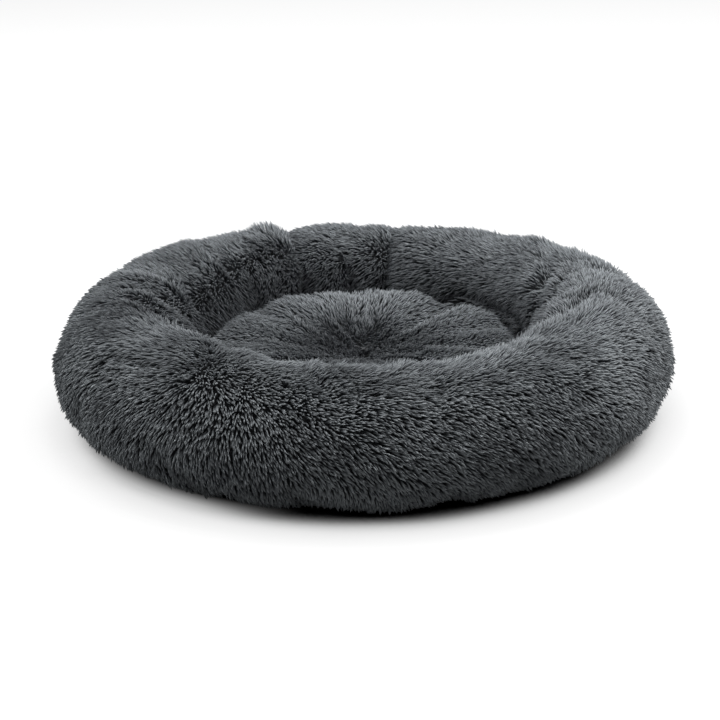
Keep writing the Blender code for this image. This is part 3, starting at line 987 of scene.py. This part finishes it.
def grow_pile(skin, way, angle, place, depth_at, seed, trim, ruffle, stretch):
    """How every lock grows: its root, the ways it leaves and ends, its length, and how its clump pulls it."""
    draw = np.random.default_rng(seed)
    count = len(angle)
    root, normal, around, along = skin.at(angle, place)
    waves = slow_noise(angle, place, STRAY_WAVES, seed)
    stray = np.radians(draw.normal(0, STRAY_SPREAD, count) + STRAY_SWING * waves)
    cos, sin = np.cos(stray), np.sin(stray)
    way = np.stack([way[:, 0] * cos - way[:, 1] * sin, way[:, 0] * sin + way[:, 1] * cos], axis=1)
    lie = way[:, :1] * around + way[:, 1:] * along
    room = depth_at(place) / PILE_DEPTH * (1 - CREASE_TRIM * trim)
    lift_noise = draw.normal(0, LIFT_SPREAD, count) + LIFT_SWING * slow_noise(angle, place, LIFT_WAVES, seed + 1)
    root_lift = (ROOT_LIFT + lift_noise) * (0.45 + 0.55 * room) + ruffle / 2
    root_lift = np.radians(np.clip(root_lift, LEAST_ROOT_LIFT, MOST_ROOT_LIFT))[:, None]
    tip_lift = np.radians((TIP_LIFT + 1.5 * lift_noise) * room + ruffle)[:, None]
    start = lie * np.cos(root_lift) + normal * np.sin(root_lift)
    end = lie * np.cos(tip_lift) + normal * np.sin(tip_lift)
    length = (PILE_LENGTH * draw.uniform(0.82, 1.12, count) * stretch * (1 - CREASE_TRIM * trim))[:, None]
    tip = root + length * (start + end) / 2
    centres = draw.choice(count, int(count * (OUTER_SPACING / LOCK_SPREAD) ** 2), replace=False)
    tree = KDTree(len(centres))
    for index, centre in enumerate(centres):
        tree.insert(root[centre], index)
    tree.balance()
    nearest = centres[[tree.find(point)[1] for point in root]]
    pull = LOCK_PULL * draw.uniform(0.4, 1.3, count)[:, None]
    bend = unit(np.cross(lie, normal)) * draw.normal(0, LOCK_BEND, count)[:, None]
    return root, normal, start, end, length, (tip[nearest] - tip) * pull, bend


def pile_tone(angle, place, seed):
    """Which tone each lock takes, from 0 to 1: mostly chance, and partly patches."""
    draw = np.random.default_rng(seed)
    patches = slow_noise(angle, place, TONE_WAVES, seed + 2)
    return np.clip(0.5 + TONE_SWING * patches + draw.normal(0, TONE_SPREAD, len(angle)), 0, 0.999)


def pile_mesh(name, growth, mine, tone_and_shade, width, template, material):
    """All the locks of one piece as one mesh."""
    flat, heights, faces, maps, steps = template
    root, normal, start, end, length, pulled, bend = [part[mine] for part in growth]
    tone_and_shade, width = tone_and_shade[mine], width[mine]
    count, corners = len(root), len(heights)
    line = np.empty((count, len(steps), 3))
    for index, step in enumerate(steps):
        line[:, index] = root + length * (start * (step - step * step / 2) + end * step * step / 2)
        line[:, index] += pulled * step**1.6 + bend * (4 * step * (1 - step))
    line[:, :, 2] = np.maximum(line[:, :, 2], LOWEST_PILE)
    which = np.abs(heights[:, None] - steps[None]).argmin(axis=1)
    ways = unit(np.gradient(line, axis=1))
    side = unit(np.cross(ways, normal[:, None]))
    over = np.cross(ways, side)
    points = line[:, which] + width[:, None, None] * (
        side[:, which] * flat[None, :, :1] + over[:, which] * flat[None, :, 1:]
    )
    points[:, :, 2] = np.maximum(points[:, :, 2], LOWEST_PILE / 2)
    loops = np.concatenate(faces)
    sizes = np.array([len(face) for face in faces])
    mesh = bpy.data.meshes.new(name)
    mesh.vertices.add(count * corners)
    mesh.vertices.foreach_set("co", points.astype(np.float32).ravel())
    mesh.loops.add(count * len(loops))
    starts = np.arange(count)[:, None]
    mesh.loops.foreach_set("vertex_index", (starts * corners + loops[None]).astype(np.int32).ravel())
    mesh.polygons.add(count * len(faces))
    firsts = np.concatenate([[0], np.cumsum(sizes)[:-1]])
    mesh.polygons.foreach_set("loop_start", (starts * len(loops) + firsts[None]).astype(np.int32).ravel())
    mesh.update(calc_edges=True)
    mesh.polygons.foreach_set("use_smooth", np.ones(count * len(faces), bool))
    own_map = mesh.uv_layers.new(name="OFBake")
    # Each lock's tone, with its painted shade, picks its column of the map
    columns = np.floor(tone_and_shade * PILE_TONES)[:, None]
    where = np.empty((count, len(loops), 2), np.float32)
    where[:, :, 0] = (columns + 0.02 + 0.96 * maps[None, :, 0]) / PILE_TONES
    where[:, :, 1] = 0.01 + 0.98 * maps[None, :, 1]
    own_map.data.foreach_set("uv", where.ravel())
    mesh.validate()
    return dress(new_object(name, mesh), material)


# The bodies


def cloth_shell(name, skin, first_column, columns, rows, material):
    """A length of cover laid along the skin: a grid primitive with its points placed, given its thickness."""
    obj, across, up = new_grid(name, columns, rows)
    column = np.round(across * columns) + first_column
    row = np.round(up * rows) / rows
    place = skin.places[0] + (skin.places[-1] - skin.places[0]) * row
    set_points(obj, skin.at(column * 360 / skin.columns, place)[0])
    if columns == skin.columns:
        merge_doubles(obj)
    apply_modifier(obj, "SOLIDIFY", thickness=COVER_THICKNESS, offset=-1)
    obj.data.shade_smooth()
    return dress(obj, material)


def fibre_body(name, skin, dent, foot, columns, rows, material):
    """A fill: a grid primitive laid under the skin and closed along the foot, with the fibre's lumps."""
    obj, across, up = new_grid(name, columns, rows)
    angle = across * 360
    step = np.round(up * rows)
    top_row = rows - 1 - len(foot)
    first, last = skin.places[0], skin.places[-1]
    place = first + (last - first) * np.clip(step / top_row, 0, 1)
    points, normals = skin.at(angle, place)[:2]
    lumps = slow_noise(angle, place * 60, (17, 29, 43), 5)
    clear = FIBRE_CREASE_GAP * np.clip(dent(angle, place) / PLEAT_HOLD_DEPTH, 0, 1)
    points = points - normals * (COVER_THICKNESS + FIBRE_GAP + FIBRE_LUMPS * (1 + lumps) + clear)[:, None]
    points[:, 2] = np.maximum(points[:, 2], BASE_TOP + FIBRE_GAP)
    turn = np.radians(angle)
    for index, (radius, height) in enumerate(foot):
        here = step == top_row + 1 + index
        points[here, 0] = radius * np.cos(turn[here])
        points[here, 1] = radius * np.sin(turn[here])
        points[here, 2] = height
    points[step == rows] = points[step == 0]
    set_points(obj, points)
    merge_doubles(obj)
    face_outwards(obj)
    obj.data.shade_smooth()
    return dress(obj, material)


def tuck_fill_in(fill, skin):
    """Keeps the cushion's fill under its cover where a tuck folds the cover tight."""
    where = points_of(fill)
    turn = np.arctan2(where[:, 1], where[:, 0])
    column = np.round(np.degrees(turn) % 360 / 360 * skin.columns).astype(int) % skin.columns
    cover_radius = np.hypot(skin.points[:, :, 0], skin.points[:, :, 1])
    foot, top = skin.places < -0.1, skin.places > 0.1
    gap = COVER_THICKNESS + FIBRE_GAP + FIBRE_LUMPS
    radius, height = np.hypot(where[:, 0], where[:, 1]), where[:, 2]
    for index in range(skin.columns):
        mine = column == index
        widest = np.interp(height[mine], skin.points[index, foot, 2], cover_radius[index, foot]) - gap
        radius[mine] = np.minimum(radius[mine], widest)
        near = np.abs(radius[mine][:, None] - cover_radius[index, top]) < FILL_SEARCH
        lowest = np.where(near, skin.points[index, top, 2], 1.0).min(axis=1) - gap
        height[mine] = np.minimum(height[mine], lowest)
    height = np.maximum(height, BASE_TOP + FIBRE_GAP)
    set_points(fill, np.stack([radius * np.cos(turn), radius * np.sin(turn), height], axis=1))
    fill.data.update()


def tube(name, points, radius, sides, material, closed=False):
    """A strand along these points, made a closed mesh."""
    data = bpy.data.curves.new(name, "CURVE")
    data.dimensions = "3D"
    data.bevel_depth = radius
    data.bevel_resolution = sides
    data.use_fill_caps = True
    spline = data.splines.new("POLY")
    spline.points.add(len(points) - 1)
    for point, place in zip(spline.points, points):
        point.co = (*place, 1)
    spline.use_cyclic_u = closed
    select_only(new_object(name, data))
    bpy.ops.object.convert(target="MESH")
    obj = name_piece(bpy.context.object, name)
    merge_doubles(obj)
    face_outwards(obj)
    obj.data.shade_smooth()
    return dress(obj, material)


def join_as(name, objects):
    select_only(objects[0])
    for obj in objects[1:]:
        obj.select_set(True)
    bpy.ops.object.join()
    return name_piece(bpy.context.object, name)


def twisted(points, strand_radius, pitch, strands):
    """The middle lines of strands laid round a line, each a full turn per pitch."""
    points = np.array(points, float)
    ways = unit(np.gradient(points, axis=0))
    side = unit(np.cross(ways, (0.31, 0.95, 0.11)))
    over = np.cross(ways, side)
    travelled = np.concatenate([[0], np.cumsum(np.linalg.norm(np.diff(points, axis=0), axis=1))])
    lines = []
    for strand in range(strands):
        turn = (math.tau * (travelled / pitch + strand / strands))[:, None]
        lines.append(points + strand_radius * (side * np.cos(turn) + over * np.sin(turn)))
    return lines


def dot_places():
    """The grip dots' centres, on the triangular grid that the solids have."""
    reach = OUTER_SEAM_RADIUS - DOT_EDGE_MARGIN
    inside = TACK_DIAMETER / 2 + DOT_DIAMETER
    rows = int(reach / DOT_PITCH) + 1
    places = []
    for row in range(-rows, rows + 1):
        for column in range(-2 * rows, 2 * rows + 1):
            x = (column + row / 2) * DOT_PITCH
            y = row * DOT_PITCH * math.sin(math.radians(60))
            if inside <= math.hypot(x, y) <= reach:
                places.append((x, y))
    return places


def build_base(oxford, rubber):
    """The base cloth, drawn in a little along its seam, and its moulded dots."""
    cloth, across, share = new_grid("base_sheet", 240, 44)
    turn = across * math.tau
    radius = TIE_HOLE_RADIUS + (OUTER_SEAM_RADIUS - TIE_HOLE_RADIUS) * share**0.8
    near_edge = ease((share - 0.86) / 0.14)
    near_tie = 1 - ease(share / 0.12)
    pucker = SEAM_PUCKER * near_edge * (1 + np.sin(SEAM_PUCKERS * turn + 2 * np.sin(7 * turn)))
    pucker = pucker + TIE_PUCKER * near_tie * (1 + np.sin(TIE_PUCKERS * turn)) + TIE_LIFT * near_tie
    sag = CLOTH_SAG * (1 + np.sin(3 * turn + 9 * share)) * (1 - near_edge) * (1 - near_tie)
    set_points(cloth, np.stack([radius * np.cos(turn), radius * np.sin(turn), DOT_HEIGHT + pucker + sag], axis=1))
    merge_doubles(cloth)
    apply_modifier(cloth, "SOLIDIFY", thickness=BASE_CLOTH_THICKNESS, offset=1)
    face_outwards(cloth)
    cloth.data.shade_smooth()
    dress(cloth, oxford)
    dots = []
    depth = DOT_HEIGHT + BASE_CLOTH_THICKNESS / 2
    for x, y in dot_places():
        place = (x, y, depth / 2)
        bpy.ops.mesh.primitive_cylinder_add(vertices=14, radius=DOT_DIAMETER / 2, depth=depth, location=place)
        dots.append(bpy.context.object)
        bpy.ops.object.transform_apply(location=True)
    dots = join_as("grip_dots", dots)
    select_only(dots)
    bpy.ops.object.mode_set(mode="EDIT")
    bpy.ops.mesh.select_all(action="DESELECT")
    bpy.ops.object.mode_set(mode="OBJECT")
    for edge in dots.data.edges:
        heights = [dots.data.vertices[corner].co.z for corner in edge.vertices]
        edge.select = max(heights) < 1e-5
    bpy.ops.object.mode_set(mode="EDIT")
    bpy.ops.mesh.bevel(offset=DOT_ROUNDING, segments=3, affect="EDGES")
    bpy.ops.object.mode_set(mode="OBJECT")
    dots.data.shade_smooth()
    dress(dots, rubber)
    for piece in (cloth, dots):
        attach(piece, "root")
    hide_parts("base_cloth")


def build_tie(material):
    """The twine from the tack under the base cloth up to the knot in the dimple, with its two short ends."""
    foot, head = DOT_HEIGHT - 0.0002, CUSHION_DIMPLE_HEIGHT - 0.001
    stem = [(0, 0, height) for height in np.linspace(foot, head, 60)]
    parts = [tube("ply", line, PLY_RADIUS, 2, material) for line in twisted(stem, PLY_RADIUS, TWIST_PITCH, 3)]
    loop = []
    reach = KNOT_DIAMETER / 2 - 2 * PLY_RADIUS
    for turn in np.linspace(0, math.tau, 73)[:-1]:
        out = (2 + math.cos(3 * turn)) / 3 * reach
        rise = 0.0024 + 0.0012 * math.sin(3 * turn)
        loop.append((out * math.cos(2 * turn), out * math.sin(2 * turn), head + rise))
    parts.append(tube("loop", loop, PLY_RADIUS * 1.5, 2, material, closed=True))
    for side, droop in ((1, 0.35), (-1, -0.2)):
        end = []
        for share in np.linspace(0, 1, 18):
            out = 0.001 + TIE_END_LENGTH * share * 0.8
            aside = 0.004 * math.sin(3 * share + droop) * share
            end.append((side * out, aside * side, head + 0.0035 + TIE_END_LENGTH * 0.4 * share**1.3))
        plies = twisted(end, PLY_RADIUS * 0.7, TWIST_PITCH, 2)
        parts += [tube("end", line, PLY_RADIUS * 0.8, 2, material) for line in plies]
    for angle in (20, 80, 140):
        turn = math.radians(angle)
        line = []
        for share in np.linspace(-1, 1, 15):
            out = share * (TACK_DIAMETER / 2 - PLY_RADIUS)
            drop = 0.0004 * (1 - share**4)
            line.append((out * math.cos(turn), out * math.sin(turn), DOT_HEIGHT - PLY_RADIUS * 0.7 - drop))
        parts.append(tube("stitch", line, PLY_RADIUS * 0.6, 2, material))
    tie = join_as("twine_tie", parts)
    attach(tie, "root")
    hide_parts("tuft_tie")


def build_ring(pile, backing, outer_lock, inner_lock, fibre):
    """The ring's two covers, its fill and its pile, outer and inner."""
    places = np.concatenate([np.linspace(-2, -1, 20)[:-1], np.linspace(-1, 1, 44)[:-1], np.linspace(1, 2, 10)])
    skin = Skin(ring_outline, ring_dent, ring_pile_depth, places, RING_COLUMNS)

    def spacing(place):
        top = OUTER_SPACING + (INNER_SPACING - OUTER_SPACING) * float(ease((place - INNER_PLACE) / 0.3 + 0.5))
        return UNDER_SPACING + (top - UNDER_SPACING) * float(ease((place + 1.75) / 0.3))

    angle, place = pile_roots(skin, *RING_PILE_SPAN, spacing)
    columns, rows = np.meshgrid(np.arange(skin.columns) * 360 / skin.columns, places, indexing="ij")
    held = np.clip(ring_dent(columns, rows) / PLEAT_HOLD_DEPTH, 0, 1)
    held = np.maximum(held, np.exp(-(((rows + 2) / 0.08) ** 2)) + np.exp(-(((rows - 2) / 0.3) ** 2)))
    stuff("ring_stuffing", skin, np.clip(held, 0, 1), 2)
    for name, node, start in (
        ("plush_ring_left", "bolster_cover_left", 108),
        ("plush_ring_right", "bolster_cover_right", 348),
    ):
        shell = cloth_shell(name, skin, start, *RING_COVER_GRID, backing)
        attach(shell, "root")
        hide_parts(node)
    fill = fibre_body("ring_fibre", skin, ring_dent, (), *RING_FIBRE_GRID, fibre)
    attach(fill, "root")
    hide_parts("bolster_fill")
    close = crease_closeness(angle, place)
    way = combed(RING_COMBING, angle, place)
    growth = grow_pile(skin, way, angle, place, ring_pile_depth, 7, close, *ruffled(angle, place))
    # Painted shade: the pile darkens down the ring's inner wall towards the cushion
    nest_shade_mask = ease((place - NEST_PAINTED_SHADE_PLACE) / NEST_PAINTED_SHADE_RUN)
    tone_and_shade = pile_tone(angle, place, 11) * (1 - NEST_PAINTED_SHADE * nest_shade_mask)
    inner = place > INNER_PLACE
    width = np.where(inner, INNER_PILE_WIDTH, OUTER_PILE_WIDTH) * rng.uniform(0.8, 1.2, len(angle))
    width = width * np.where(place < -1.6, 1.3, 1)
    for side, template in (("outer", outer_lock), ("inner", inner_lock)):
        sector = ((angle - CROSS_SEAM_ANGLE) % 360 / 360 * RING_PILE_PIECES).astype(int)
        for index in range(RING_PILE_PIECES):
            mine = (sector == index) & (inner == (side == "inner"))
            piece = pile_mesh(f"{side}_pile_{index + 1}", growth, mine, tone_and_shade, width, template, pile)
            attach(piece, "root")


def build_cushion(pile, backing, inner_lock, fibre):
    """The cushion's cover, its fill and its pile."""
    places = np.concatenate([np.linspace(-1, 0, 8)[:-1], np.linspace(0, 1, 14)[:-1], np.linspace(1, 2, 34)])
    skin = Skin(cushion_outline, cushion_dent, cushion_pile_depth, places, CUSHION_COLUMNS)
    angle, place = pile_roots(skin, *CUSHION_PILE_SPAN, lambda place: INNER_SPACING)
    rows = np.broadcast_to(places, (skin.columns, len(places)))
    held = np.exp(-(((rows + 1) / 0.3) ** 2)) + np.exp(-(((rows - 2) / 0.12) ** 2))
    stuff("cushion_stuffing", skin, np.clip(held, 0, 1), 1)
    shell = cloth_shell("plush_cushion", skin, 0, *CUSHION_COVER_GRID, backing)
    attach(shell, "root")
    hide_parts("cushion_cover")
    foot = ((TIE_HOLE_RADIUS, BASE_TOP + FIBRE_GAP),)
    fill = fibre_body("cushion_fibre", skin, cushion_tuck, foot, *CUSHION_FIBRE_GRID, fibre)
    tuck_fill_in(fill, skin)
    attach(fill, "root")
    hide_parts("cushion_fill")
    way, reach = whorl(skin, angle, place)
    near = np.exp(-((reach / CUSHION_WHORL_REACH) ** 2))
    lift = CUSHION_OPEN_LIFT + (CUSHION_WHORL_LIFT - CUSHION_OPEN_LIFT) * near
    stretch = np.full(len(angle), CUSHION_LENGTH_SHARE)
    growth = grow_pile(skin, way, angle, place, cushion_pile_depth, 17, 0, lift, stretch)
    # Painted shade: the cushion's pile darkens from halfway down its dish into the dimple
    painted_shade_share = CUSHION_DIMPLE_SHADED_SHARE + (CUSHION_RIM_UNSHADED_SHARE - CUSHION_DIMPLE_SHADED_SHARE) * ease((1.75 - place) / 0.5)
    # Painted shade round the whorl
    painted_shade_share = painted_shade_share * (1 - WHORL_PAINTED_SHADE * near)
    tone_and_shade = (CUSHION_LEAST_TONE + CUSHION_TONE_SPAN * pile_tone(angle, place, 21)) * painted_shade_share
    width = INNER_PILE_WIDTH * rng.uniform(0.8, 1.2, len(angle))
    for index in range(CUSHION_PILE_PIECES):
        mine = (angle // (360 / CUSHION_PILE_PIECES)).astype(int) == index
        piece = pile_mesh(f"cushion_pile_{index + 1}", growth, mine, tone_and_shade, width, inner_lock, pile)
        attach(piece, "root")


# The studio


def build_floor():
    """A pale floor that looks white to the camera but for the painted shadow close round the bed."""
    bpy.ops.object.select_all(action="DESELECT")
    bpy.ops.mesh.primitive_plane_add(size=40)
    floor = name_piece(bpy.context.object, "studio_floor")
    material, tree, shader = new_material("studio_floor", (0.9, 0.9, 0.9), 0.9)
    seen = tree.nodes.new("ShaderNodeLightPath").outputs["Is Camera Ray"]
    crevice = new_node(tree, "AmbientOcclusion", Distance=FLOOR_SHADOW_REACH)
    crevice.samples = 24
    place = tree.nodes.new("ShaderNodeTexCoord")
    split = new_node(tree, "SeparateXYZ", Vector=place.outputs["Object"])
    across, deep = split.outputs["X"], split.outputs["Y"]
    square = math_node(tree, "MULTIPLY", across, across)
    lifted = math_node(tree, "MULTIPLY_ADD", square, SIDE_SHADOW_LIFT, crevice.outputs["AO"])
    aside = math_node(tree, "ADD", across, SHADOW_SHIFT)
    square = math_node(tree, "MULTIPLY", deep, deep)
    away = math_node(tree, "SQRT", math_node(tree, "MULTIPLY_ADD", aside, aside, square))
    leftward = math_node(tree, "MULTIPLY", across, -LEFTWARD_SCALE)
    # Painted shadow: the share of glow and colour left to the camera, from ambient occlusion and from the distance to
    # the bed
    close_share = mix_node(
        tree,
        "LIGHTEN",
        ramp_node(tree, leftward, LEFTWARD_SHARES, smooth=True),
        ramp_node(tree, lifted, CREVICE_SHARES),
        ramp_node(tree, away, LEFT_SHARES),
    )
    open_share = mix_node(tree, "MULTIPLY", 1.0, close_share, ramp_node(tree, away, FAR_SHARES))
    shade = mix_node(tree, "MIX", open_share, (0.0, 0.0, 0.0), (0.3, 0.3, 0.3))
    glow = math_node(tree, "MULTIPLY", open_share, seen)
    set_inputs(
        shader,
        Base_Color=mix_node(tree, "MIX", seen, (0.25, 0.25, 0.25), shade),
        Specular_IOR_Level=0,
        Emission_Color=(1.0, 1.0, 1.0),
        Emission_Strength=math_node(tree, "MULTIPLY", glow, FLOOR_GLOW),
    )
    side = tree.nodes.new("ShaderNodeNewGeometry")
    clear = tree.nodes.new("ShaderNodeBsdfTransparent")
    either = tree.nodes.new("ShaderNodeMixShader")
    for socket, value in zip(either.inputs, (side.outputs["Backfacing"], shader.outputs[0], clear.outputs[0])):
        feed(socket, value)
    set_inputs(tree.nodes["Material Output"], Surface=either.outputs[0])
    dress(floor, material)


def build_lights():
    """A dim sky and five softboxes that face the bed."""
    world = bpy.data.worlds.new("studio")
    bpy.context.scene.world = world
    world.use_nodes = True
    sky = world.node_tree.nodes["Background"]
    set_inputs(sky, Color=SKY_COLOUR, Strength=SKY_STRENGTH)
    for name, place, size, power in SOFTBOXES:
        lamp = bpy.data.lights.new(name, "AREA")
        lamp.energy = power
        lamp.size = size
        obj = new_object(name, lamp)
        obj.location = place
        obj.rotation_euler = Vector(place).to_track_quat("Z", "Y").to_euler()


def build_camera():
    """The camera, aimed over the bed's middle from the front."""
    lens = bpy.data.cameras.new("camera")
    lens.sensor_width = SENSOR_MM
    lens.lens = FOCAL_LENGTH_MM
    lens.shift_x = SHIFT_X
    lens.shift_y = SHIFT_Y
    camera = new_object("camera", lens)
    up = math.radians(EYE_ELEVATION)
    direction = Vector((0, -math.cos(up), math.sin(up)))
    eye = Vector((0, 0, EYE_TARGET_HEIGHT)) + direction * EYE_DISTANCE
    aim = (-direction).to_track_quat("-Z", "Y").to_matrix().to_4x4()
    camera.matrix_world = Matrix.Translation(eye) @ aim @ Matrix.Rotation(math.radians(EYE_ROLL), 4, "Z")
    bpy.context.scene.camera = camera


def main():
    bpy.context.scene.view_settings.view_transform = "Standard"
    pile, backing, fibre = pile_material(), backing_material(), fibre_material()
    outer_lock, inner_lock = lock_template(*OUTER_LOCK), lock_template(*INNER_LOCK)
    build_ring(pile, backing, outer_lock, inner_lock, fibre)
    build_cushion(pile, backing, inner_lock, fibre)
    build_base(oxford_material(), dot_material())
    build_tie(twine_material())
    build_floor()
    build_lights()
    build_camera()


main()
